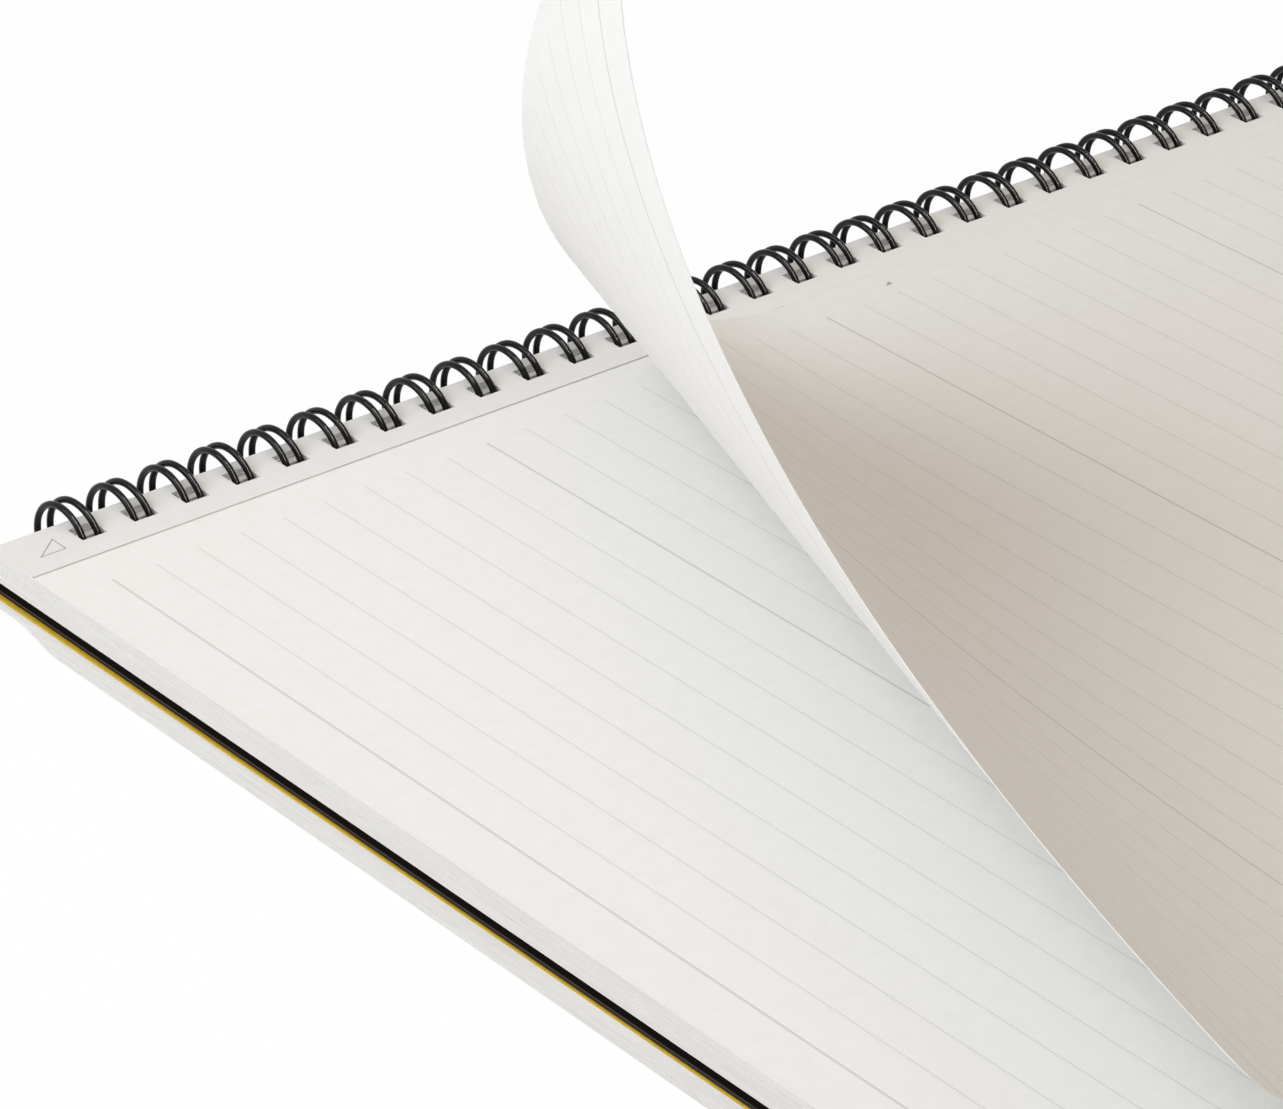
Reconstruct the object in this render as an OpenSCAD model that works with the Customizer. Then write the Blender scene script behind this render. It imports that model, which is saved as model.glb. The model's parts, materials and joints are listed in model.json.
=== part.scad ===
// A side-bound wire notebook, folded back on itself at a middle page. The upper half lies on the turned
// half with the two covers back to back, and one leaf is half torn off along its perforation and curls up.
// X runs across the page away from the binding, Y along the binding, Z up. The origin is the middle of the
// flat face that the notebook rests on.

/* [Page] */
// Length of the pages along the binding
page_h = 297; // [120:1:420]
// Width of a leaf from its perforation to its outer edge
leaf_w = 210; // [150:1:300]
// Radius of the outer corners
corner_r = 4; // [1:0.5:10]

/* [Stack] */
// Thickness of the block of turned pages, which lies lowest
turned_t = 3.5; // [2.6:0.1:4.2]
// Thickness of the yellow flyleaf
flyleaf_t = 0.5; // [0.2:0.05:0.6]
// Angle by which the flyleaf is cut out of square, so that it shows at the near end of the spine
flyleaf_skew = 0.15; // [0:0.05:0.3]
// Thickness of the front cover
front_t = 0.6; // [0.3:0.05:0.8]
// Thickness of the back cover board
back_t = 1.2; // [0.8:0.1:1.6]
// Thickness of the block of pages still to be used
upper_t = 4.2; // [3:0.1:4.4]
// Thickness of the raised leaf
leaf_t = 0.3; // [0.2:0.05:0.4]
// Length of the slope where the turned pages bend up to clear the loops
ramp_l = 9; // [4:0.5:20]

/* [Holes] */
// Least distance from an end of the pages to the middle of the nearest loop
end_margin = 12; // [8:0.5:20]
// Distance from one loop to the next, three to the inch
pitch = 8.47; // [7:0.01:8.5]
// Length of a hole along the binding
hole_l = 4; // [3.8:0.1:4.6]
// Width of a hole across the binding
hole_w = 3.5; // [3.2:0.1:4.4]
// Distance from the wire's centre line to the front edge of a hole
hole_front = 1.2; // [1.1:0.05:1.6]
// Width of the strip of paper between the holes and the spine edge
strip_w = 2.2; // [2:0.1:3]
// Width of the strip of paper between the holes and the perforation
stub_w = 4.3; // [3:0.1:8]

/* [Wire] */
// Diameter of the coated wire
wire_d = 1; // [0.7:0.05:1.1]
// Radius of a loop at the wire's centre line
wire_r = 6; // [5.8:0.1:6.4]
// Distance between the two legs of a loop
leg_gap = 2.4; // [2:0.1:2.5]
// Radius of the bends at the foot of a leg
foot_r = 1.2; // [0.9:0.05:1.4]
// Height of the lowest point of the loops over the table
wire_lift = 0.05; // [0.02:0.01:0.3]
// Clear distance between the loop tips and the bridges that they close on
seam_gap = 0.3; // [0.2:0.05:0.6]

/* [Raised leaf] */
// Width of the slit where the leaf has torn off its stub
tear_gap = 0.3; // [0.2:0.05:1]
// Distance of the curl's apex from the perforation, on the spine side
apex_out = 185; // [120:1:260]
// Distance of the curl's apex from the bottom edge of the leaf
apex_up = 172.5; // [150:0.5:200]
// Angle between the start of the curl and the ruled lines
curl_start = 12.4; // [8:0.1:16]
// Half angle of the cone that the leaf is rolled on
curl_half = 14; // [11:0.5:24]

/* [Hidden] */
$fn = 48;
// Clear distance of the seam's channel round the bridges, and of a cut past the face that it opens
channel_gap = 0.3;
cut = 1;
// The balls at the loop tips are this much wider than the wire, so that they join it all round
ball_share = 1.03;
// Angles by which the curl laps onto the flat part and stops short of the torn corner
lap = 1.5;
tip_short = 0.2;

// Levels of the layers, each resting on the one below
flyleaf_z = turned_t;
front_z = flyleaf_z + flyleaf_t;
back_z = front_z + front_t;
upper_z = back_z + back_t;
leaf_z = upper_z + upper_t;

// The wire's axis: its height, and how far a hole at a given height lies in front of it
axis_z = wire_lift + wire_d / 2 + wire_r;
function wire_x(z) = sqrt(wire_r * wire_r - (z - axis_z) * (z - axis_z));
perf_out = wire_x(leaf_z) + hole_front + stub_w;
outer_out = perf_out + leaf_w;

// The turned pages bend up near the spine to clear the bottom of the loops
ramp_z = turned_t / 2;
ramp_from = wire_x(turned_t) + hole_front;
ramp_to = ramp_from + ramp_l;

// Places across the page, with the resting face centred on the origin
axis_x = -(outer_out + ramp_to) / 2;
perf_x = axis_x + perf_out;
outer_x = axis_x + outer_out;
bottom_y = -page_h / 2;

// Places along the binding, with as many loops as the pages take
loops = floor((page_h - 2 * end_margin) / pitch) + 1;
function loop_y(i) = (i - (loops - 1) / 2) * pitch;

// The seam of the wire: polar angles about the axis of the feet and of the loop tips
bridge_z = upper_z + channel_gap + wire_d / 2;
foot_angle = asin((bridge_z - axis_z) / wire_r) + foot_r / wire_r * 180 / PI;
tip_reach = leg_gap / 2 + foot_r + wire_d + seam_gap;
leg_span = 360 - tip_reach / wire_r * 180 / PI;
ball_d = wire_d * ball_share;

// A sheet of pages or a cover in plan, from the spine side to the outer edge, with round outer corners
module page_plan() {
    left = axis_x - wire_r + wire_d;
    hull() {
        translate([left, bottom_y]) square([wire_d, page_h]);
        for (s = [-1, 1])
            translate([outer_x - corner_r, s * (page_h / 2 - corner_r)]) circle(corner_r);
    }
}

// A prism along the binding, of an outline given across it
module along_binding(length, y = 0) {
    translate([0, y + length / 2, 0]) rotate([90, 0, 0]) linear_extrude(length) children();
}

// The gap that a hole leaves for the wire, following the loop through the thickness of the stack
module hole_section() {
    translate([axis_x, axis_z]) difference() {
        translate([hole_front, 0]) circle(wire_r);
        translate([hole_front - hole_w, 0]) circle(wire_r);
        translate([-2 * wire_r, -2 * wire_r]) square([2 * wire_r, 4 * wire_r]);
    }
}

// What is cut from every layer: the row of holes, and the spine side, which follows the loops as well
module binding_cuts() {
    for (i = [0:loops - 1]) along_binding(hole_l, loop_y(i)) hole_section();
    along_binding(page_h + 2 * cut)
        translate([axis_x + hole_front - hole_w - strip_w, axis_z]) circle(wire_r);
}

module layer(z, thick, skew = 0) {
    difference() {
        translate([outer_x, bottom_y, z]) rotate([0, 0, skew]) translate([-outer_x, -bottom_y, 0])
            linear_extrude(thick) page_plan();
        binding_cuts();
    }
}

// The pages turned to the back, lowest in the stack
module turned_pages() {
    color("gainsboro") difference() {
        layer(0, turned_t);
        along_binding(page_h + 2 * cut) translate([axis_x, 0]) polygon([
            [-2 * wire_r, -cut],
            [ramp_to + cut * (ramp_to - ramp_from) / ramp_z, -cut],
            [ramp_from, ramp_z],
            [-2 * wire_r, ramp_z]
        ]);
    }
}

module flyleaf() {
    color("gold") layer(flyleaf_z, flyleaf_t, flyleaf_skew);
}

module front_cover() {
    color([0.09, 0.08, 0.08]) layer(front_z, front_t);
}

module back_cover() {
    color([0.12, 0.11, 0.1]) layer(back_z, back_t);
}

// The pages still to be used. A channel in the underside leaves room for the seam of the wire
module upper_pages() {
    bridge_x = axis_x + wire_r;
    bridge_top = bridge_z + wire_d / 2;
    foot_reach = leg_gap / 2 + 2 * foot_r;
    channel_l = loop_y(loops - 1) - loop_y(0) + 2 * foot_reach;
    color("white") difference() {
        layer(upper_z, upper_t);
        along_binding(channel_l) translate([bridge_x - wire_d, upper_z - cut])
            square([2 * wire_d + channel_gap, cut + bridge_top - upper_z + 2 * channel_gap]);
    }
}

// The curl of the leaf: rays from the apex stay straight, and roll up on a cone that touches the page
// along the first of them. Leaf places are a, across from the perforation, and b, up from the bottom edge
apex = [perf_x - apex_out, bottom_y + apex_up, leaf_z];
first_ray = [cos(curl_start), -sin(curl_start), 0];
first_side = [-sin(curl_start), -cos(curl_start), 0];
cone_axis = cos(curl_half) * first_ray + [0, 0, sin(curl_half)];
cone_out = (first_ray - cos(curl_half) * cone_axis) / sin(curl_half);
function roll(angle) = max(0, angle - curl_start) / sin(curl_half);
function flat_ray(angle) = [cos(angle), -sin(angle), 0];
function rolled_ray(angle) = cos(curl_half) * cone_axis
    + sin(curl_half) * (cos(roll(angle)) * cone_out + sin(roll(angle)) * first_side);
function ray(angle) = angle < curl_start ? flat_ray(angle) : rolled_ray(angle);
function side(angle) = angle < curl_start
    ? [-sin(angle), -cos(angle), 0]
    : cos(roll(angle)) * first_side - sin(roll(angle)) * cone_out;
function lift(angle) = cross(side(angle), ray(angle));

// Where a ray comes onto the leaf, at the torn edge, and where it leaves it, at the outer edge, the round
// corner or the bottom edge
function ray_in(angle) = apex_out / cos(angle);
function ray_side(angle) = (apex_out + leaf_w) / cos(angle);
function ray_foot(angle) = apex_up / sin(angle);
corner_a = apex_out + leaf_w - corner_r;
corner_b = corner_r - apex_up;
function ray_corner(angle) =
    let (along = corner_a * cos(angle) - corner_b * sin(angle))
    let (across = corner_a * sin(angle) + corner_b * cos(angle))
    along + sqrt(max(0, corner_r * corner_r - across * across));
corner_first = atan((apex_up - corner_r) / (apex_out + leaf_w));
corner_last = atan(apex_up / corner_a);
function ray_out(angle) = angle <= corner_first ? ray_side(angle)
    : angle >= corner_last ? ray_foot(angle)
    : ray_corner(angle);

// The rays, closer together round the corner. The first lies in the flat part, which it joins
last_angle = atan(apex_up / apex_out) - tip_short;
lap_angle = curl_start - lap;
corner_steps = 6;
side_steps = 8;
foot_steps = 18;
curl_angles = concat(
    [lap_angle],
    [for (i = [0:side_steps - 1]) curl_start + (corner_first - curl_start) * i / side_steps],
    [for (i = [0:corner_steps - 1]) corner_first + (corner_last - corner_first) * i / corner_steps],
    [for (i = [0:foot_steps]) corner_last + (last_angle - corner_last) * i / foot_steps]
);

// Four points to a ray: under and over its inner end, over and under its outer end
function ray_points(angle) = [
    apex + ray_in(angle) * ray(angle),
    apex + ray_in(angle) * ray(angle) + leaf_t * lift(angle),
    apex + ray_out(angle) * ray(angle) + leaf_t * lift(angle),
    apex + ray_out(angle) * ray(angle)
];

module curl() {
    count = len(curl_angles);
    points = [for (angle = curl_angles) each ray_points(angle)];
    walls = [
        for (i = [0:count - 2], k = [0:3])
            let (a = 4 * i + k, b = 4 * i + (k + 1) % 4)
            each [[a, b, b + 4], [a, b + 4, a + 4]]
    ];
    last = 4 * (count - 1);
    polyhedron(points, concat([[3, 2, 1, 0]], walls, [[last, last + 1, last + 2, last + 3]]));
}

// The flat part of the leaf in plan, with its stub, which is torn free as far as the start of the curl
module flat_leaf_plan() {
    far = 2 * leaf_w;
    tear_y = apex[1] - apex_out * tan(curl_start);
    far_y = tear_y - far * tan(curl_start);
    difference() {
        page_plan();
        polygon([
            [perf_x - tear_gap, bottom_y - far],
            [perf_x - tear_gap, tear_y],
            [perf_x, tear_y],
            [perf_x + far, far_y],
            [perf_x + far, bottom_y - far]
        ]);
    }
}

module raised_leaf() {
    color("whitesmoke") union() {
        difference() {
            translate([0, 0, leaf_z]) linear_extrude(leaf_t) flat_leaf_plan();
            binding_cuts();
        }
        curl();
    }
}

// The wire in a frame of its own: the loops turn about Y, and their legs start at the X axis
module wire_arc(radius, from, span) {
    rotate([0, 0, from]) rotate_extrude(angle = span) translate([radius, 0]) circle(d = wire_d);
}

module at_tip() {
    rotate([0, -leg_span, 0]) translate([wire_r, 0, 0]) children();
}

module loop() {
    for (s = [-1, 1]) {
        translate([0, s * leg_gap / 2, 0]) rotate([90, 0, 0]) wire_arc(wire_r, 0, leg_span);
        translate([wire_r, s * (leg_gap / 2 + foot_r), 0]) rotate([0, 90, 0])
            wire_arc(foot_r, s > 0 ? -90 : 0, 90);
        at_tip() translate([0, s * leg_gap / 2, 0]) sphere(d = ball_d);
    }
    at_tip() rotate([0, 90, 0]) wire_arc(leg_gap / 2, 90, 180);
}

module bridge() {
    foot_y = leg_gap / 2 + foot_r;
    translate([wire_r, foot_y, -foot_r]) rotate([-90, 0, 0]) cylinder(d = wire_d, h = pitch - 2 * foot_y);
}

module wire_binding() {
    color([0.13, 0.13, 0.13]) translate([axis_x, loop_y(0), axis_z]) rotate([0, -foot_angle, 0]) union() {
        for (i = [0:loops - 1]) translate([0, i * pitch, 0]) loop();
        for (i = [0:loops - 2]) translate([0, i * pitch, 0]) bridge();
    }
}

turned_pages();
flyleaf();
front_cover();
back_cover();
upper_pages();
raised_leaf();
wire_binding();
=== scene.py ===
import json
import math
import random

import bmesh
import bpy
from mathutils import Euler, Matrix, Vector


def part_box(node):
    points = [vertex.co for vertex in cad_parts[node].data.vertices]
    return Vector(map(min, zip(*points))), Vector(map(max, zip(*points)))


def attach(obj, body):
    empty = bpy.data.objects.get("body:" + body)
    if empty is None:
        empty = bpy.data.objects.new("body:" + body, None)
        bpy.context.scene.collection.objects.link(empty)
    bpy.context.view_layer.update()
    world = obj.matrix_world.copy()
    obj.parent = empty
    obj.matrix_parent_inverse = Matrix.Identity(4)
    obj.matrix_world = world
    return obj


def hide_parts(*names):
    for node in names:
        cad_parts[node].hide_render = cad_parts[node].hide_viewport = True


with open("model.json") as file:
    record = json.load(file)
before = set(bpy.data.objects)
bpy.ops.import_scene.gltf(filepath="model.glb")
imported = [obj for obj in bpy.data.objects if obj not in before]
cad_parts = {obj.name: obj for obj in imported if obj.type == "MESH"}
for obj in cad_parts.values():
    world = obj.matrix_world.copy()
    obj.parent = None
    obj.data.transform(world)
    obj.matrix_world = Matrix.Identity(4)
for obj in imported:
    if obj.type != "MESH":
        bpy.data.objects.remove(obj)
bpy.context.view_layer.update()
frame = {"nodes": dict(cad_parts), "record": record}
mm = 0.001
print("frame loaded:", sorted(frame["nodes"]))

# places that every piece shares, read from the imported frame
hinge = frame["record"]["behaviour"]["joints"][0]
wireAxis = Vector(hinge["pos_m"])  # the centre line of the loops, along Y
upperLow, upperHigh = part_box("upper_pages")
turnedLow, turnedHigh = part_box("turned_pages")
pageTop = upperHigh.z
outerX = upperHigh.x
bottomY = upperLow.y
topY = upperHigh.y

# the row of holes and the wire that runs through it
binding = {
    "loops": 33,
    "pitch": 8.47 * mm,
    "holeLength": 4.0 * mm,
    "holeWidth": 3.5 * mm,
    "holeFront": 1.2 * mm,  # from the wire's centre line to the front edge of a hole
    "strip": 2.2 * mm,  # paper between the holes and the spine edge
    "stub": 4.3 * mm,  # paper between the holes and the perforation
    "loopRadius": 6.0 * mm,
}

# the two outer corners of every sheet
sheetCorner = {
    "radius": 4.0 * mm,
    "steps": 7,
    "reach": 1.0 * mm,  # a point this near to an edge counts as on it
}


def wireReach(z):
    rise = z - wireAxis.z
    return math.sqrt(max(0.0, binding["loopRadius"] ** 2 - rise ** 2))


def loopY(index):
    return (index - (binding["loops"] - 1) / 2) * binding["pitch"]


perfX = wireAxis.x + wireReach(pageTop) + binding["holeFront"] + binding["stub"]


# finishes: sRGB hex to linear, and one function that adds a node
def hexColour(code):
    channels = [int(code[i:i + 2], 16) / 255 for i in (1, 3, 5)]
    linear = [c / 12.92 if c <= 0.04045 else ((c + 0.055) / 1.055) ** 2.4 for c in channels]
    return (*linear, 1.0)


def addNode(tree, kind, links=None, **settings):
    node = tree.nodes.new(kind)
    for key, value in settings.items():
        setattr(node, key, value)
    for key, value in (links or {}).items():
        if isinstance(value, bpy.types.NodeSocket):
            tree.links.new(value, node.inputs[key])
        else:
            node.inputs[key].default_value = value
    return node


def newMaterial(name):
    material = bpy.data.materials.new(name)
    material.use_nodes = True
    tree = material.node_tree
    tree.nodes.clear()
    return material, tree


# feint ruling: dotted lines, a solid one at every ninth, all starting clear of the perforation
# the lines are drawn wider, softer and paler than print, so that they show from afar
ruling = {
    "first": 8.1 * mm,  # from the end of the page
    "spacing": 7.0 * mm,
    "boldEvery": 9,
    "lines": 41,
    "start": 6.5 * mm,  # from the perforation
    "thinWidth": 0.36 * mm,
    "boldWidth": 0.34 * mm,
    "soften": 0.2 * mm,
    "dotPitch": 0.5 * mm,
    "dotGap": 0.18,  # blank on each side of a dot, as a share of the pitch
    "thinInk": 0.22,
    "boldInk": 0.32,
}


def rulingMask(tree, across, along):
    masks = []
    for step, width in ((1, ruling["thinWidth"]), (ruling["boldEvery"], ruling["boldWidth"])):
        gap = ruling["spacing"] * step
        shift = 0.5 - ruling["first"] / gap  # puts each line in the middle of its turn
        turns = addNode(tree, "ShaderNodeMath", {0: along, 1: 1 / gap, 2: shift}, operation="MULTIPLY_ADD")
        part = addNode(tree, "ShaderNodeMath", {0: turns.outputs[0]}, operation="FRACT")
        centred = addNode(tree, "ShaderNodeMath", {0: part.outputs[0], 1: 0.5}, operation="SUBTRACT")
        away = addNode(tree, "ShaderNodeMath", {0: centred.outputs[0]}, operation="ABSOLUTE")
        line = addNode(tree, "ShaderNodeMapRange", {
            "Value": away.outputs[0],
            "From Min": (width - ruling["soften"]) / 2 / gap,
            "From Max": (width + ruling["soften"]) / 2 / gap,
            "To Min": 1.0,
            "To Max": 0.0,
        })
        masks.append(line.outputs[0])
    thinLine, boldLine = masks

    pitch = ruling["dotPitch"]
    wave = addNode(tree, "ShaderNodeMath", {0: across, 1: pitch / 2}, operation="PINGPONG")
    dot = addNode(tree, "ShaderNodeMath", {0: wave.outputs[0], 1: pitch * ruling["dotGap"]},
                  operation="GREATER_THAN")
    dotted = addNode(tree, "ShaderNodeMath", {0: thinLine, 1: dot.outputs[0]}, operation="MULTIPLY")
    thinInk = addNode(tree, "ShaderNodeMath", {0: dotted.outputs[0], 1: ruling["thinInk"]},
                      operation="MULTIPLY")
    boldInk = addNode(tree, "ShaderNodeMath", {0: boldLine, 1: ruling["boldInk"]}, operation="MULTIPLY")
    ink = addNode(tree, "ShaderNodeMath", {0: thinInk.outputs[0], 1: boldInk.outputs[0]},
                  operation="MAXIMUM")

    beforeFirst = ruling["first"] - ruling["spacing"] / 2
    afterLast = beforeFirst + ruling["spacing"] * ruling["lines"]
    limits = (
        (across, ruling["start"], "GREATER_THAN"),
        (along, beforeFirst, "GREATER_THAN"),
        (along, afterLast, "LESS_THAN"),
    )
    for value, edge, test in limits:
        inside = addNode(tree, "ShaderNodeMath", {0: value, 1: edge}, operation=test)
        ink = addNode(tree, "ShaderNodeMath", {0: ink.outputs[0], 1: inside.outputs[0]},
                      operation="MULTIPLY")
    return ink.outputs[0]


# wood-free writing paper, uncoated: matt, slightly warm white, with faint cloudy fibre
paper = {
    "page": "#EEEDEA",
    "fold": "#EBEAE6",  # the same sheet, a little duller where its fibre is thicker
    "leafPageShaded": "#E6E5E2",  # painted shade: the leaf is the same paper as the block, drawn a touch greyer for the light it lets through, so that its lit side is less bright
    "leafFoldShaded": "#E3E2DE",
    "cloud": 2.5 * mm,
    "cloudDetail": 4.0,
    "cloudRange": (0.35, 0.75),
    "fibre": 0.25 * mm,
    "fibreDetail": 3.0,
    "fibreBump": 0.12,
    "fibreDepth": 0.03 * mm,
    "roughness": 0.85,
    "shine": 0.2,
    "ink": "#706C6A",
    "perforation": 0.16 * mm,
    "cutPitch": 0.5 * mm,
    "cutGap": 0.12,  # paper left on each side of a cut, as a share of the pitch
    # painted shade: how dark the dashes are that stand for the perforation's cuts, on the block and on the
    # leaf
    "blockCutShade": 0.35,
    "leafCutShade": 0.12,
    "edge": "#DEDCD8",  # cut edges of the block, drawn greyer than the page: painted shade
    "edgeShade": "#D5D3CF",
    "sheetEdge": 0.30 * mm,  # sheets are 0.1 mm, drawn three times as thick to show
    "edgeStretch": 0.012,  # draws the grain out along the sheets
    "edgeDetail": 2.0,
    "edgeRange": (0.35, 0.7),
    "flatFrom": 0.5,  # a surface that faces up or down by more than this is a page, not an edge
    "wallMargin": 1.0 * mm,
}


# painted shade on the cut edges of a block: a greyer colour with darker streaks, one to each sheet, wherever
# the surface stands upright
def cutEdges(tree, place, axes, pageColour):
    solid = place.outputs["Object"]
    stretch = addNode(tree, "ShaderNodeMapping", {
        "Vector": solid,
        "Scale": (paper["edgeStretch"], paper["edgeStretch"], 1.0),
    })
    streak = addNode(tree, "ShaderNodeTexNoise", {
        "Vector": stretch.outputs[0],
        "Scale": 1 / paper["sheetEdge"],
        "Detail": paper["edgeDetail"],
    })
    streaks = addNode(tree, "ShaderNodeMapRange", {
        "Value": streak.outputs[0],
        "From Min": paper["edgeRange"][0],
        "From Max": paper["edgeRange"][1],
    })
    edge = addNode(tree, "ShaderNodeMix", {
        0: streaks.outputs[0],
        6: hexColour(paper["edge"]),
        7: hexColour(paper["edgeShade"]),
    }, data_type="RGBA")

    facing = addNode(tree, "ShaderNodeSeparateXYZ", {0: place.outputs["Normal"]})
    tilt = addNode(tree, "ShaderNodeMath", {0: facing.outputs[2]}, operation="ABSOLUTE")
    isFlat = addNode(tree, "ShaderNodeMath", {0: tilt.outputs[0], 1: paper["flatFrom"]},
                     operation="GREATER_THAN")

    # the walls of the holes and the spine edge, among the wires, are spared the painted shade of the cut
    # edges and keep the plain page colour, which lightens the holes
    margin = paper["wallMargin"]
    halfPage = (topY - bottomY) / 2
    isStub = addNode(tree, "ShaderNodeMath", {0: axes.outputs[0], 1: -margin}, operation="LESS_THAN")
    isInner = addNode(tree, "ShaderNodeMath", {0: axes.outputs[1], 1: halfPage, 2: halfPage - margin},
                      operation="COMPARE")
    isPaleWall = addNode(tree, "ShaderNodeMath", {0: isStub.outputs[0], 1: isInner.outputs[0]},
                     operation="MULTIPLY")
    isPage = addNode(tree, "ShaderNodeMath", {0: isFlat.outputs[0], 1: isPaleWall.outputs[0]},
                     operation="MAXIMUM")
    colour = addNode(tree, "ShaderNodeMix", {0: isPage.outputs[0], 6: edge.outputs[2], 7: pageColour},
                     data_type="RGBA")
    return colour.outputs[2]


def paperMaterial(name, page, fold, cutShade, uvMap=None):
    material, tree = newMaterial(name)
    place = addNode(tree, "ShaderNodeTexCoord")
    solid = place.outputs["Object"]
    if uvMap:
        plan = addNode(tree, "ShaderNodeUVMap", uv_map=uvMap)
    else:
        plan = addNode(tree, "ShaderNodeMapping", {"Vector": solid, "Location": (-perfX, -bottomY, 0)})
    axes = addNode(tree, "ShaderNodeSeparateXYZ", {0: plan.outputs[0]})
    ink = rulingMask(tree, axes.outputs[0], axes.outputs[1])

    # the perforation along the edge of the stub: a row of short cuts drawn as grey dashes, painted shade in
    # the cuts
    pitch = paper["cutPitch"]
    off = addNode(tree, "ShaderNodeMath", {0: axes.outputs[0]}, operation="ABSOLUTE")
    onLine = addNode(tree, "ShaderNodeMath", {0: off.outputs[0], 1: paper["perforation"] / 2},
                     operation="LESS_THAN")
    wave = addNode(tree, "ShaderNodeMath", {0: axes.outputs[1], 1: pitch / 2}, operation="PINGPONG")
    cut = addNode(tree, "ShaderNodeMath", {0: wave.outputs[0], 1: pitch * paper["cutGap"]},
                  operation="GREATER_THAN")
    row = addNode(tree, "ShaderNodeMath", {0: onLine.outputs[0], 1: cut.outputs[0]}, operation="MULTIPLY")
    rowShade = addNode(tree, "ShaderNodeMath", {0: row.outputs[0], 1: cutShade}, operation="MULTIPLY")
    marks = addNode(tree, "ShaderNodeMath", {0: ink, 1: rowShade.outputs[0]}, operation="MAXIMUM")

    # cloudy formation of the sheet, with the print and the painted shade of the perforation over it
    cloud = addNode(tree, "ShaderNodeTexNoise", {
        "Vector": solid,
        "Scale": 1 / paper["cloud"],
        "Detail": paper["cloudDetail"],
    })
    cloudy = addNode(tree, "ShaderNodeMapRange", {
        "Value": cloud.outputs[0],
        "From Min": paper["cloudRange"][0],
        "From Max": paper["cloudRange"][1],
    })
    face = addNode(tree, "ShaderNodeMix", {0: cloudy.outputs[0], 6: hexColour(page), 7: hexColour(fold)},
                   data_type="RGBA")
    printed = addNode(tree, "ShaderNodeMix", {
        0: marks.outputs[0],
        6: face.outputs[2],
        7: hexColour(paper["ink"]),
    }, data_type="RGBA")
    colour = printed.outputs[2]
    if not uvMap:
        colour = cutEdges(tree, place, axes, colour)

    fibre = addNode(tree, "ShaderNodeTexNoise", {
        "Vector": solid,
        "Scale": 1 / paper["fibre"],
        "Detail": paper["fibreDetail"],
    })
    bump = addNode(tree, "ShaderNodeBump", {
        "Height": fibre.outputs[0],
        "Strength": paper["fibreBump"],
        "Distance": paper["fibreDepth"],
    })
    shader = addNode(tree, "ShaderNodeBsdfPrincipled", {
        "Base Color": colour,
        "Roughness": paper["roughness"],
        "Specular IOR Level": paper["shine"],
        "Normal": bump.outputs[0],
    })
    addNode(tree, "ShaderNodeOutputMaterial", {0: shader.outputs[0]})
    return material


# card, board, plastic and coating share one build: a colour with a fine grain in it and in its relief
sheetGrain = {
    "detail": 5.0,
    "range": (0.35, 0.7),
    "bump": 0.3,
    "roughSpread": 0.06,
}


def sheetMaterial(name, colour, flecks, grain, roughness, relief, shine):
    material, tree = newMaterial(name)
    place = addNode(tree, "ShaderNodeTexCoord")
    noise = addNode(tree, "ShaderNodeTexNoise", {
        "Vector": place.outputs["Object"],
        "Scale": 1 / grain,
        "Detail": sheetGrain["detail"],
    })
    spread = addNode(tree, "ShaderNodeMapRange", {
        "Value": noise.outputs[0],
        "From Min": sheetGrain["range"][0],
        "From Max": sheetGrain["range"][1],
    })
    mixed = addNode(tree, "ShaderNodeMix", {0: spread.outputs[0], 6: hexColour(colour), 7: hexColour(flecks)},
                    data_type="RGBA")
    bump = addNode(tree, "ShaderNodeBump", {
        "Height": noise.outputs[0],
        "Strength": sheetGrain["bump"],
        "Distance": relief,
    })
    rough = addNode(tree, "ShaderNodeMapRange", {
        "Value": noise.outputs[0],
        "To Min": roughness - sheetGrain["roughSpread"],
        "To Max": roughness + sheetGrain["roughSpread"],
    })
    shader = addNode(tree, "ShaderNodeBsdfPrincipled", {
        "Base Color": mixed.outputs[2],
        "Roughness": rough.outputs[0],
        "Specular IOR Level": shine,
        "Normal": bump.outputs[0],
    })
    addNode(tree, "ShaderNodeOutputMaterial", {0: shader.outputs[0]})
    return material


pagePaper = paperMaterial("writingPaperBlock", paper["page"], paper["fold"], paper["blockCutShade"])
# the leaf's copy of the paper carries painted shade: its colours are a touch greyer than the block's
leafShadedPaper = paperMaterial("writingPaperLeafShaded", paper["leafPageShaded"], paper["leafFoldShaded"], paper["leafCutShade"],
                          uvMap="leafPlan")

# card dyed right through: dry and matt, one strong colour that holds to the cut edge
yellowCard = sheetMaterial("dyedYellowCard", "#CBA928", "#BF9C20",
                           grain=0.8 * mm, roughness=0.8, relief=0.02 * mm, shine=0.2)
# extruded polypropylene sheet: almost black, with a low satin sheen
blackPlastic = sheetMaterial("blackPolypropyleneSheet", "#0C0807", "#120D0B",
                             grain=0.4 * mm, roughness=0.5, relief=0.02 * mm, shine=0.12)
# painted highlight: the cut edge of the same sheet drawn as a dull brownish line, for the light its bevel
# catches
paintedEdgeHighlight = sheetMaterial("polypropyleneEdgePaintedHighlight", "#3A3027", "#463A2F",
                            grain=0.2 * mm, roughness=0.5, relief=0.01 * mm, shine=0.2)
# pressed greyboard, dyed black: the dullest of the blacks
blackBoard = sheetMaterial("blackGreyboard", "#090504", "#0E0907",
                           grain=0.6 * mm, roughness=0.75, relief=0.03 * mm, shine=0.03)
# drawn steel wire in a smooth nylon coat: black, with one long thin line of light on each leg
coatedWire = sheetMaterial("nylonCoatedSteelWire", "#080706", "#0C0B0A",
                           grain=0.3 * mm, roughness=0.15, relief=0.001 * mm, shine=0.16)
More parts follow.
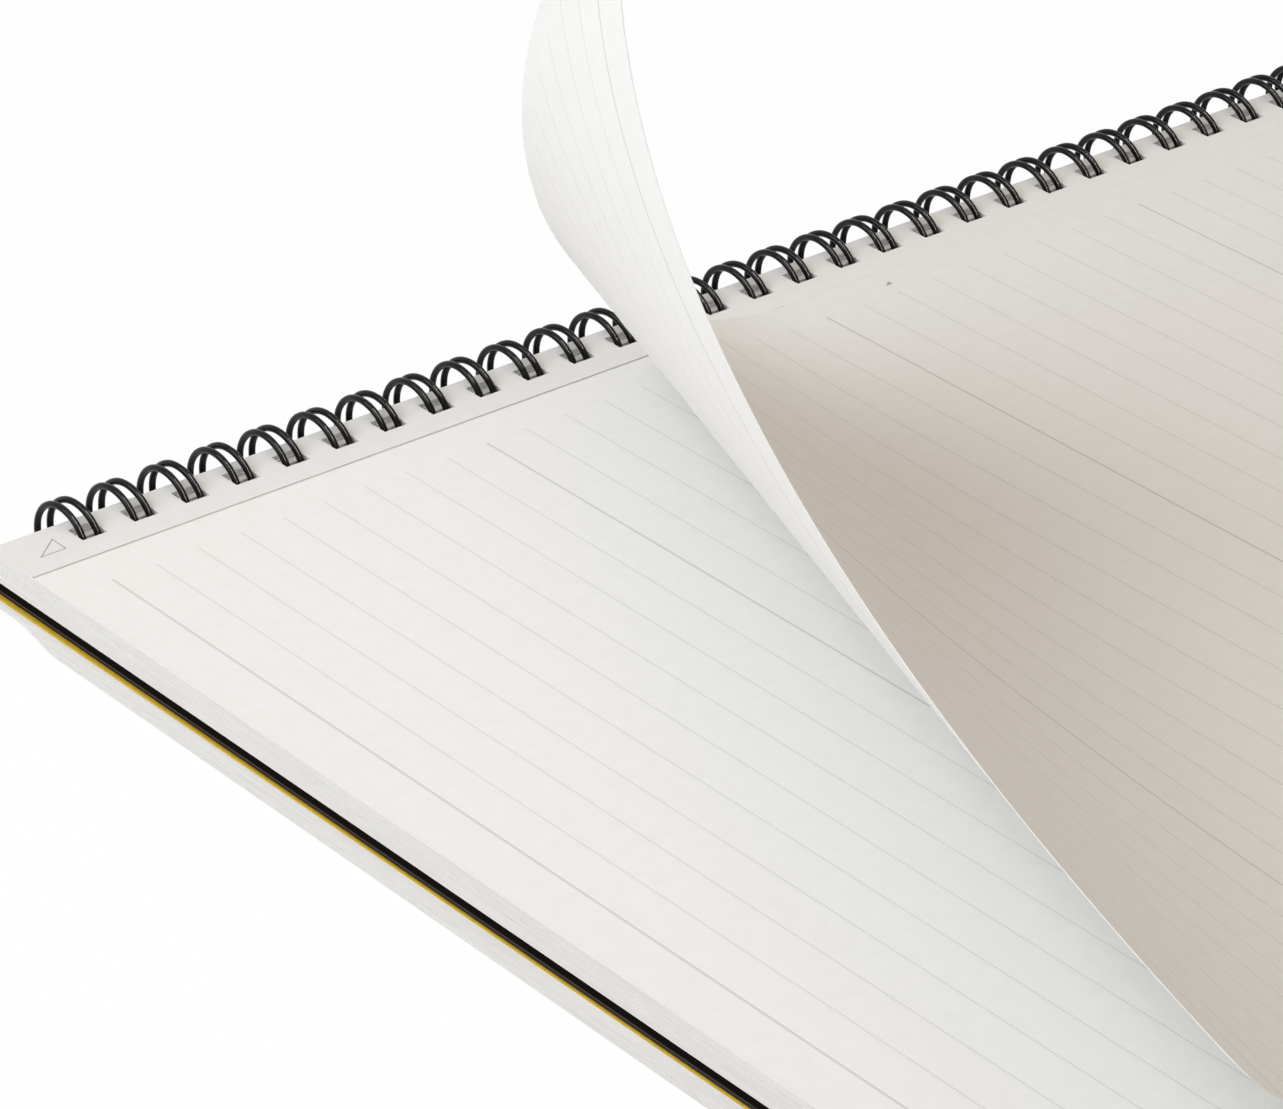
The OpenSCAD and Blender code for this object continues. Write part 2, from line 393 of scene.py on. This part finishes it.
# offset ink on uncoated paper: flat, pale and matt
printInk = sheetMaterial("greyOffsetInk", "#A4A4A4", "#ACACAC",
                         grain=0.2 * mm, roughness=0.8, relief=0.005 * mm, shine=0.2)
print("materials made")


# sheets: a grid whose lines fall on the edges of the holes
def holeLines():
    lines = [bottomY]
    for index in range(binding["loops"]):
        lines.append(loopY(index) - binding["holeLength"] / 2)
        lines.append(loopY(index) + binding["holeLength"] / 2)
    lines.append(topY)
    return lines


def inHole(y):
    index = round(y / binding["pitch"] + (binding["loops"] - 1) / 2)
    if index < 0 or index >= binding["loops"]:
        return False
    return abs(y - loopY(index)) < binding["holeLength"] / 2


def gridSheet(bm, xLines, yLines, z):
    across = len(xLines) - 1
    along = len(yLines) - 1
    made = bmesh.ops.create_grid(bm, x_segments=across, y_segments=along, size=1.0)
    for vert in made["verts"]:
        i = round((vert.co.x + 1) / 2 * across)
        j = round((vert.co.y + 1) / 2 * along)
        vert.co = (xLines[i], yLines[j], z)


def punchHoles(bm, holeBack, holeFront):
    faces = []
    for face in bm.faces:
        centre = face.calc_center_median()
        if holeBack < centre.x < holeFront and inHole(centre.y):
            faces.append(face)
    bmesh.ops.delete(bm, geom=faces, context="FACES")


def roundSheetCorners(bm):
    reach = sheetCorner["reach"]
    outer = [v for v in bm.verts if v.co.x > outerX - reach]
    corners = [v for v in outer if v.co.y < bottomY + reach or v.co.y > topY - reach]
    bmesh.ops.bevel(bm, geom=corners, offset=sheetCorner["radius"], segments=sheetCorner["steps"],
                    profile=0.5, affect="VERTICES", material=-1)


def holeColumns(z):
    front = wireAxis.x + wireReach(z) + binding["holeFront"]
    back = front - binding["holeWidth"]
    return back - binding["strip"], back, front


# gives a flat sheet its thickness, with its underside at the level asked for
def thickenSheet(bm, thick, level, shiftX=0.0, shiftY=0.0):
    bmesh.ops.solidify(bm, geom=bm.faces[:], thickness=thick)
    lowest = min(v.co.z for v in bm.verts)
    bmesh.ops.translate(bm, verts=bm.verts, vec=(shiftX, shiftY, level - lowest))


def finishPiece(name, bm, material, body, node, smooth):
    mesh = bpy.data.meshes.new(name)
    bm.to_mesh(mesh)
    bm.free()
    for polygon in mesh.polygons:
        polygon.use_smooth = smooth
    mesh.materials.append(material)
    piece = bpy.data.objects.new(name, mesh)
    bpy.context.scene.collection.objects.link(piece)
    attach(piece, body)
    if node:
        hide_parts(node)
    return piece


# a block of pages: bundles of a few sheets, each a little out of line with the next
pageBlock = {
    "bundle": 0.35 * mm,
    "shuffle": 0.10 * mm,
    "paperShare": 0.95,  # the rest is the gap that shows as a line
    "slack": 1.3 * mm,  # inner bundles lie forward by as much as their holes let them
    "leastSlack": 0.7,  # and by at least this share of it
    "cover": 2,  # bundles that stay in line next to the leaf
    "seed": 11,
}
slope = {
    "rise": (turnedHigh.z - turnedLow.z) / 2,  # the turned pages bend up this far to meet the loops
    "length": 9.0 * mm,
    "steps": 6,
}


def slopeLift(x):
    start = wireAxis.x + wireReach(turnedHigh.z) + binding["holeFront"]
    share = min(1.0, max(0.0, (x - start) / slope["length"]))
    return slope["rise"] * (1 - share * share * (3 - 2 * share))


def pagesBlock(name, low, high, body, node, bendsUp):
    dice = random.Random(pageBlock["seed"] + round(high.z / mm))
    total = high.z - low.z
    bundles = round(total / pageBlock["bundle"])
    step = total / bundles
    least = pageBlock["leastSlack"]
    block = bmesh.new()
    for index in range(bundles):
        level = low.z + index * step
        spineLevel = level
        if bendsUp:
            spineLevel = level + slope["rise"] * (1 - (level - low.z) / total)
        isTop = index == bundles - 1
        isEnd = isTop or index == 0
        shiftX = 0.0 if isEnd else -dice.random() * pageBlock["shuffle"]
        shiftY = 0.0 if isEnd else (dice.random() - 0.5) * pageBlock["shuffle"]
        forward = 0.0
        if not bendsUp and index < bundles - pageBlock["cover"]:
            forward = pageBlock["slack"] * (least + (1 - least) * dice.random())
        spine, back, front = [x + forward for x in holeColumns(spineLevel + step / 2)]
        columns = [spine, back, front]
        if bendsUp:
            ramp = slope["length"] + binding["holeFront"]
            columns += [front + ramp * (k + 1) / slope["steps"] for k in range(slope["steps"])]
        columns.append(outerX)
        sheet = bmesh.new()
        gridSheet(sheet, columns, holeLines(), level)
        punchHoles(sheet, back, front)
        roundSheetCorners(sheet)
        thick = step if isTop else step * pageBlock["paperShare"]
        thickenSheet(sheet, thick, level, shiftX, shiftY)
        if bendsUp:
            for vert in sheet.verts:
                share = (vert.co.z - low.z) / total
                vert.co.z += slopeLift(vert.co.x) * (1 - share)
        bmesh.ops.recalc_face_normals(sheet, faces=sheet.faces)
        bundle = bpy.data.meshes.new("bundle")
        sheet.to_mesh(bundle)
        sheet.free()
        block.from_mesh(bundle)
        bpy.data.meshes.remove(bundle)
    piece = finishPiece(name, block, pagePaper, body, node, False)
    print(name, "made of", bundles, "bundles,", len(piece.data.polygons), "faces")


pagesBlock("upperPages", upperLow, upperHigh, "back_half", "upper_pages", False)
pagesBlock("turnedPages", turnedLow, turnedHigh, "turned_half", "turned_pages", True)

# the raised leaf: flat above the first ray of the curl, rolled on a cone below it
leaf = {
    "thick": 0.12 * mm,
    "rest": 0.03 * mm,  # it lies this far above the page under it
    "slit": 0.13 * mm,  # the width of the tear
    "cell": 2.8 * mm,
    "row": 2.2 * mm,
    "apexOut": 185 * mm,  # the cone's point, from the perforation towards the spine
    "apexUp": 172.5 * mm,  # and from the end of the page
    "curlStart": math.radians(12.4),
    "curlHalf": math.radians(14),
    "cutTolerance": 1e-7,
    "crease": math.radians(35),
}
tearEnd = leaf["apexUp"] - leaf["apexOut"] * math.tan(leaf["curlStart"])


def leafPoint(a, b, z):
    across = a + leaf["apexOut"]
    down = leaf["apexUp"] - b
    start = leaf["curlStart"]
    half = leaf["curlHalf"]
    angle = math.atan2(down, across)
    if a < 0 or angle <= start:
        return Vector((perfX + a, bottomY + b, z))
    firstRay = Vector((math.cos(start), -math.sin(start), 0))
    firstSide = Vector((-math.sin(start), -math.cos(start), 0))
    coneAxis = firstRay * math.cos(half) + Vector((0, 0, math.sin(half)))
    coneOut = (firstRay - coneAxis * math.cos(half)) / math.sin(half)
    roll = (angle - start) / math.sin(half)
    outward = coneOut * math.cos(roll) + firstSide * math.sin(roll)
    ray = coneAxis * math.cos(half) + outward * math.sin(half)
    apex = Vector((perfX - leaf["apexOut"], bottomY + leaf["apexUp"], z))
    return apex + ray * math.hypot(across, down)


def roundLeafCorners(bm):
    radius = sheetCorner["radius"]
    for side in (-1, 1):
        centre = Vector((outerX - radius, side * (topY - radius), pageTop))
        for k in range(sheetCorner["steps"]):
            turn = math.radians(90) * (k + 0.5) / sheetCorner["steps"]
            out = Vector((math.cos(turn), side * math.sin(turn), 0))
            everything = bm.verts[:] + bm.edges[:] + bm.faces[:]
            bmesh.ops.bisect_plane(bm, geom=everything, dist=leaf["cutTolerance"],
                                   plane_co=centre + out * radius, plane_no=out, clear_outer=True)


def raisedLeaf():
    spine, back, front = holeColumns(pageTop)
    count = round((outerX - perfX) / leaf["cell"])
    columns = [spine, back, front, perfX - leaf["slit"]]
    columns += [perfX + (outerX - perfX) * i / count for i in range(count + 1)]
    lines = holeLines()
    rows = [lines[0]]
    for low, high in zip(lines, lines[1:]):
        parts = max(1, round((high - low) / leaf["row"]))
        rows += [low + (high - low) * (i + 1) / parts for i in range(parts)]
    level = pageTop + leaf["rest"]
    bm = bmesh.new()
    gridSheet(bm, columns, rows, level)
    punchHoles(bm, back, front)
    torn = []
    for face in bm.faces:
        centre = face.calc_center_median()
        if perfX - leaf["slit"] < centre.x < perfX and centre.y < bottomY + tearEnd:
            torn.append(face)
    bmesh.ops.delete(bm, geom=torn, context="FACES")
    roundLeafCorners(bm)
    plan = bm.loops.layers.uv.new("leafPlan")  # the flat sheet, in metres, for the ruling
    for face in bm.faces:
        for loop in face.loops:
            loop[plan].uv = (loop.vert.co.x - perfX, loop.vert.co.y - bottomY)
    for vert in bm.verts:
        vert.co = leafPoint(vert.co.x - perfX, vert.co.y - bottomY, level)
    bm.normal_update()  # so that the paper is as thick where it stands upright
    bmesh.ops.solidify(bm, geom=bm.faces[:], thickness=-leaf["thick"])
    bmesh.ops.recalc_face_normals(bm, faces=bm.faces)
    for edge in bm.edges:
        edge.smooth = edge.calc_face_angle(0) < leaf["crease"]
    piece = finishPiece("raisedLeaf", bm, leafShadedPaper, "back_half", "raised_leaf", True)
    print("raisedLeaf made of", len(piece.data.polygons), "faces")


raisedLeaf()

# two small right-angled marks printed on the leaf: an open one on the stub, a solid one at mid page
printedMarks = {
    "stubAt": (-3.8 * mm, 3.7 * mm),  # from the perforation and from the end of the page
    "stubLegs": (3.4 * mm, 4.3 * mm),
    "stubLine": 0.17 * mm,
    "middleAt": (4.1 * mm, 147.8 * mm),
    "middleLegs": (1.0 * mm, 1.3 * mm),
    "raise": 0.02 * mm,
    "film": 0.01 * mm,
}


def leafMarks():
    level = pageTop + leaf["rest"] + leaf["thick"] + printedMarks["raise"]
    bm = bmesh.new()
    for place, legs, isOpen in (
        (printedMarks["stubAt"], printedMarks["stubLegs"], True),
        (printedMarks["middleAt"], printedMarks["middleLegs"], False),
    ):
        corner = Vector((perfX + place[0], bottomY + place[1], level))
        offsets = ((0, 0, 0), (0, legs[1], 0), (-legs[0], legs[1], 0))
        face = bm.faces.new([bm.verts.new(corner + Vector(offset)) for offset in offsets])
        face.normal_update()
        if isOpen:
            bmesh.ops.inset_region(bm, faces=[face], thickness=printedMarks["stubLine"],
                                   use_boundary=True, use_even_offset=True)
            bmesh.ops.delete(bm, geom=[face], context="FACES")
    bmesh.ops.solidify(bm, geom=bm.faces[:], thickness=printedMarks["film"])
    bmesh.ops.recalc_face_normals(bm, faces=bm.faces)
    piece = finishPiece("leafMarks", bm, printInk, "back_half", None, False)
    print("leafMarks made of", len(piece.data.polygons), "faces")


leafMarks()

# the wire: one length, bent into a pair of legs, a tip and two feet for each loop
wire = {
    "thick": 1.0 * mm,
    "halfGap": 1.13 * mm,
    "spread": 0.10 * mm,  # the legs stand further apart at the page than at the spine
    "footRadius": 1.2 * mm,
    "footAngle": math.radians(11.94),
    "tipAngle": math.radians(336.61),
    "legSteps": 44,
    "bendSteps": 5,
    "tipSteps": 8,
    "roundSteps": 3,
    "crown": 0.93,  # the loops were pressed a little flat when they were closed
}


def wirePoint(angle, along, y):
    rise = math.sin(angle) * (wire["crown"] if math.sin(angle) > 0 else 1.0)
    out = Vector((math.cos(angle), 0, rise))
    onward = Vector((-math.sin(angle), 0, math.cos(angle)))
    return wireAxis + out * binding["loopRadius"] + onward * along + Vector((0, y, 0))


def halfGap(angle):
    return wire["halfGap"] + wire["spread"] * math.cos(angle)


def loopPath(y):
    foot = wire["footRadius"]
    footAngle = wire["footAngle"]
    tipAngle = wire["tipAngle"]
    footGap = halfGap(footAngle)
    tipGap = halfGap(tipAngle)
    points = []
    for i in range(wire["bendSteps"]):
        turn = math.radians(90) * i / wire["bendSteps"]
        aside = y - footGap - foot + foot * math.sin(turn)
        points.append(wirePoint(footAngle, -foot * math.cos(turn), aside))
    for i in range(wire["legSteps"]):
        angle = footAngle + (tipAngle - footAngle) * i / wire["legSteps"]
        points.append(wirePoint(angle, 0, y - halfGap(angle)))
    for i in range(wire["tipSteps"]):
        turn = math.radians(180) * i / wire["tipSteps"]
        points.append(wirePoint(tipAngle, tipGap * math.sin(turn), y - tipGap * math.cos(turn)))
    for i in range(wire["legSteps"]):
        angle = tipAngle - (tipAngle - footAngle) * i / wire["legSteps"]
        points.append(wirePoint(angle, 0, y + halfGap(angle)))
    for i in range(wire["bendSteps"] + 1):
        turn = math.radians(90) * i / wire["bendSteps"]
        aside = y + footGap + foot - foot * math.cos(turn)
        points.append(wirePoint(footAngle, -foot * math.sin(turn), aside))
    return points


def doubleWire():
    points = []
    for index in range(binding["loops"]):
        points += loopPath(loopY(index))
    curve = bpy.data.curves.new("doubleWire", "CURVE")
    curve.dimensions = "3D"
    curve.bevel_depth = wire["thick"] / 2
    curve.bevel_resolution = wire["roundSteps"]
    curve.use_fill_caps = True
    spline = curve.splines.new("POLY")
    spline.points.add(len(points) - 1)
    for point, place in zip(spline.points, points):
        point.co = (*place, 1.0)
    spline.use_smooth = True
    curve.materials.append(coatedWire)
    piece = bpy.data.objects.new("doubleWire", curve)
    bpy.context.scene.collection.objects.link(piece)
    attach(piece, "back_half")
    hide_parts("wire_binding")
    print("doubleWire runs through", len(points), "points")


doubleWire()

# the covers: one sheet each, with edges softened by the cutter; a painted highlight on the front cover's edge
# makes the seam between them show
cover = {
    "edgeRound": 0.16 * mm,
    "edgeSteps": 2,
}


def coverSheet(name, node, material, body):
    low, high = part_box(node)
    spine, back, front = holeColumns((low.z + high.z) / 2)
    bm = bmesh.new()
    gridSheet(bm, [spine, back, front, outerX], holeLines(), low.z)
    punchHoles(bm, back, front)
    roundSheetCorners(bm)
    thickenSheet(bm, high.z - low.z, low.z)
    bmesh.ops.recalc_face_normals(bm, faces=bm.faces)
    piece = finishPiece(name, bm, material, body, node, False)
    soften = piece.modifiers.new("cutEdge", "BEVEL")
    soften.width = cover["edgeRound"]
    soften.segments = cover["edgeSteps"]
    soften.limit_method = "ANGLE"
    return piece, soften


frontCover, frontEdge = coverSheet("frontCover", "front_cover", blackPlastic, "turned_half")
frontCover.data.materials.append(paintedEdgeHighlight)
frontEdge.material = 1  # painted highlight on its cut edge, which draws the seam between the covers
coverSheet("backCover", "back_cover", blackBoard, "back_half")

# the flyleaf: a thinner card than its solid, cut out of square so that it shows at the near end of the spine
flyleaf = {
    "thick": 0.32 * mm,
    "showing": 0.5 * mm,
    "fade": 3.0,
    "steps": 24,
}


def flyleafSheet():
    low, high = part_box("flyleaf")
    level = (low.z + high.z - flyleaf["thick"]) / 2
    spine, back, front = holeColumns((low.z + high.z) / 2)
    columns = [spine, back, front]
    columns += [front + (outerX - front) * (i + 1) / flyleaf["steps"] for i in range(flyleaf["steps"])]
    bm = bmesh.new()
    gridSheet(bm, columns, holeLines(), level)
    punchHoles(bm, back, front)
    for vert in bm.verts:
        if vert.co.y < bottomY + sheetCorner["reach"]:
            share = (outerX - vert.co.x) / (outerX - spine)
            vert.co.y -= flyleaf["showing"] * share ** flyleaf["fade"]
    roundSheetCorners(bm)
    thickenSheet(bm, flyleaf["thick"], level)
    bmesh.ops.recalc_face_normals(bm, faces=bm.faces)
    finishPiece("flyleafCard", bm, yellowCard, "turned_half", "flyleaf", False)


flyleafSheet()
print("covers and flyleaf made")

# studio: white floor, warm fill all round, a cooler key from beyond the binding's near end,
# and a strip overhead that shows in reflections alone
studio = {
    "floorSize": 4.0,
    "floorDrop": 0.02 * mm,
    "floorColour": "#FAFAFA",
    "floorShadow": 0.07,  # how much of the real light and shadow the white floor keeps
    "white": (1.0, 1.0, 1.0, 1.0),
    "fill": (0.63, 0.568, 0.507, 1.0),
    "keyColour": (0.80, 0.89, 1.0),
    "keyPower": 9.9,
    "keySize": 0.85,
    "keyFrom": (-0.33, -0.70, 0.66),
    "keyReach": 1.3,
    "glintPower": 26.0,
    "glintSize": (0.06, 1.0),  # a strip, so that each leg of the wire carries a long line of light
    "glintColour": (1.0, 0.93, 0.86),
    "glintAt": (0.20, -0.12, 0.87),
    "glintAlong": (1.0, 0.0, -0.15),
}


# the floor and the world are plain white to the camera and in reflections
def seenDirectly(tree):
    rays = addNode(tree, "ShaderNodeLightPath")
    seen = rays.outputs["Is Camera Ray"]
    for kind in ("Is Glossy Ray", "Is Transmission Ray"):
        both = addNode(tree, "ShaderNodeMath", {0: seen, 1: rays.outputs[kind]}, operation="MAXIMUM")
        seen = both.outputs[0]
    return seen


def floorMaterial():
    material, tree = newMaterial("paintedStudioFloor")
    lit = addNode(tree, "ShaderNodeBsdfDiffuse", {"Color": hexColour(studio["floorColour"])})
    glow = addNode(tree, "ShaderNodeEmission", {"Strength": 1.0})
    share = addNode(tree, "ShaderNodeMath", {0: seenDirectly(tree), 1: 1 - studio["floorShadow"]},
                    operation="MULTIPLY")
    mixed = addNode(tree, "ShaderNodeMixShader", {0: share.outputs[0], 1: lit.outputs[0], 2: glow.outputs[0]})
    addNode(tree, "ShaderNodeOutputMaterial", {0: mixed.outputs[0]})
    return material


def studioFloor():
    bm = bmesh.new()
    bmesh.ops.create_grid(bm, x_segments=1, y_segments=1, size=studio["floorSize"] / 2)
    bmesh.ops.translate(bm, verts=bm.verts, vec=(0, 0, -studio["floorDrop"]))
    mesh = bpy.data.meshes.new("studioFloor")
    bm.to_mesh(mesh)
    bm.free()
    mesh.materials.append(floorMaterial())
    floor = bpy.data.objects.new("studioFloor", mesh)
    bpy.context.scene.collection.objects.link(floor)


def studioWorld():
    world = bpy.data.worlds.new("studioWorld")
    world.use_nodes = True
    tree = world.node_tree
    tree.nodes.clear()
    colour = addNode(tree, "ShaderNodeMix", {0: seenDirectly(tree), 6: studio["fill"], 7: studio["white"]},
                     data_type="RGBA")
    sky = addNode(tree, "ShaderNodeBackground", {"Color": colour.outputs[2], "Strength": 1.0})
    addNode(tree, "ShaderNodeOutputWorld", {0: sky.outputs[0]})
    bpy.context.scene.world = world


def studioLamps():
    key = bpy.data.lights.new("keyLight", "AREA")
    key.energy = studio["keyPower"]
    key.color = studio["keyColour"]
    key.size = studio["keySize"]
    lamp = bpy.data.objects.new("keyLight", key)
    lamp.location = Vector(studio["keyFrom"]).normalized() * studio["keyReach"]
    lamp.rotation_euler = (-lamp.location).to_track_quat("-Z", "Y").to_euler()
    bpy.context.scene.collection.objects.link(lamp)

    glint = bpy.data.lights.new("glintLight", "AREA")
    glint.energy = studio["glintPower"]
    glint.color = studio["glintColour"]
    glint.shape = "RECTANGLE"
    glint.size, glint.size_y = studio["glintSize"]
    strip = bpy.data.objects.new("glintLight", glint)
    strip.location = studio["glintAt"]
    back = (strip.location - wireAxis).normalized()
    side = Vector(studio["glintAlong"]).cross(back).normalized()
    strip.rotation_euler = Matrix((side, back.cross(side), back)).transposed().to_euler()
    strip.visible_diffuse = False
    bpy.context.scene.collection.objects.link(strip)


studioFloor()
studioWorld()
studioLamps()
print("studio lit")

# the photograph's view: a long lens from the outer side, over the torn end
shot = {
    "stand": Vector((427.6, -507.4, 371.2)) * mm,
    "aim": Vector((-63.7, -80.9, 10.0)) * mm,
    "roll": math.radians(1.65),
    "lens": 156.9,
    "sensor": 36.0,
    "near": 10 * mm,
    "far": 20.0,
}


def photoCamera():
    data = bpy.data.cameras.new("photoCamera")
    data.sensor_fit = "HORIZONTAL"
    data.sensor_width = shot["sensor"]
    data.lens = shot["lens"]
    data.clip_start = shot["near"]
    data.clip_end = shot["far"]
    camera = bpy.data.objects.new("photoCamera", data)
    camera.location = shot["stand"]
    turn = (shot["aim"] - shot["stand"]).to_track_quat("-Z", "Y")
    camera.rotation_euler = (turn @ Euler((0, 0, shot["roll"])).to_quaternion()).to_euler()
    bpy.context.scene.collection.objects.link(camera)
    bpy.context.scene.camera = camera
    print("camera set")


photoCamera()
bpy.context.scene.view_settings.view_transform = "Standard"
